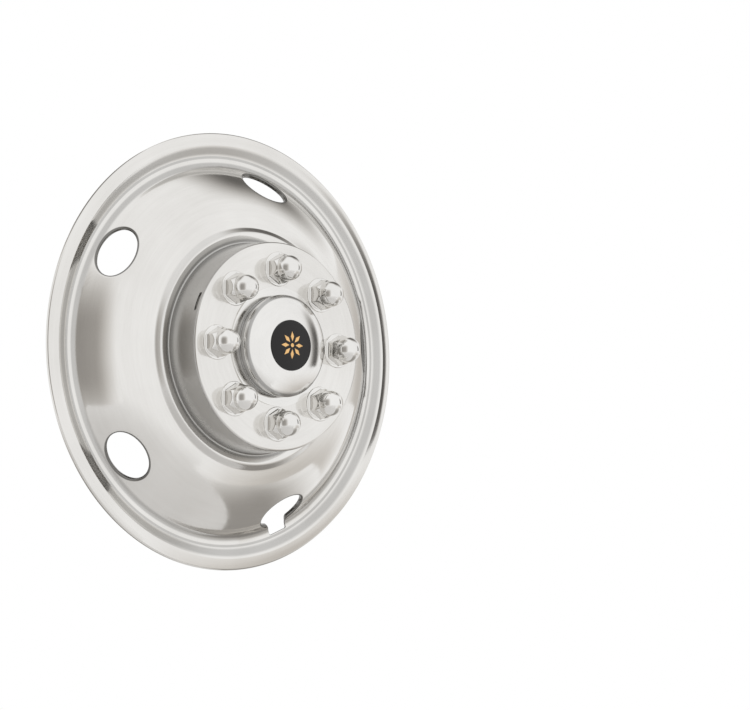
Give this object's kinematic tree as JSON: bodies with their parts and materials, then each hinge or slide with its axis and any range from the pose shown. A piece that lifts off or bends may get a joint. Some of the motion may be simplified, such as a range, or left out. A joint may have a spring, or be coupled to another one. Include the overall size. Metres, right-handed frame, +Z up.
{
  "type": "truck wheel simulator",
  "caption": "Polished stainless liner that covers a truck's front steel wheel, with lug nut covers, a domed centre cap, hand holes, a valve notch and spring clips behind.",
  "frame": {"origin": "on the wheel axis, in the plane where the rolled rim edge seats on the steel rim", "axes": "+Y along the wheel axis, from the face towards the vehicle; +Z up; +X to the right as the face is seen"},
  "size_m": [0.471, 0.145, 0.471],
  "materials": {
    "polished_steel": "mirror polished stainless steel",
    "spring_steel": "plain spring steel",
    "emblem_black": "gloss black with a gold coloured pattern"
  },
  "bodies": {
    "root": {"wheel_liner": "polished_steel", "centre_cap": "polished_steel", "cap_emblem": "emblem_black", "lug_nut_cover_1": "polished_steel", "lug_nut_cover_2": "polished_steel", "lug_nut_cover_3": "polished_steel", "lug_nut_cover_4": "polished_steel", "lug_nut_cover_5": "polished_steel", "lug_nut_cover_6": "polished_steel", "lug_nut_cover_7": "polished_steel", "lug_nut_cover_8": "polished_steel", "push_ring_1": "spring_steel", "push_ring_2": "spring_steel", "push_ring_3": "spring_steel", "push_ring_4": "spring_steel", "push_ring_5": "spring_steel", "push_ring_6": "spring_steel", "push_ring_7": "spring_steel", "push_ring_8": "spring_steel", "cap_clip_1": "spring_steel", "cap_clip_2": "spring_steel", "cap_clip_3": "spring_steel", "cap_clip_4": "spring_steel", "rim_clip_1": "spring_steel", "rim_clip_2": "spring_steel", "rim_clip_3": "spring_steel", "rim_clip_4": "spring_steel", "rim_clip_5": "spring_steel"}
  },
  "joints": []
}
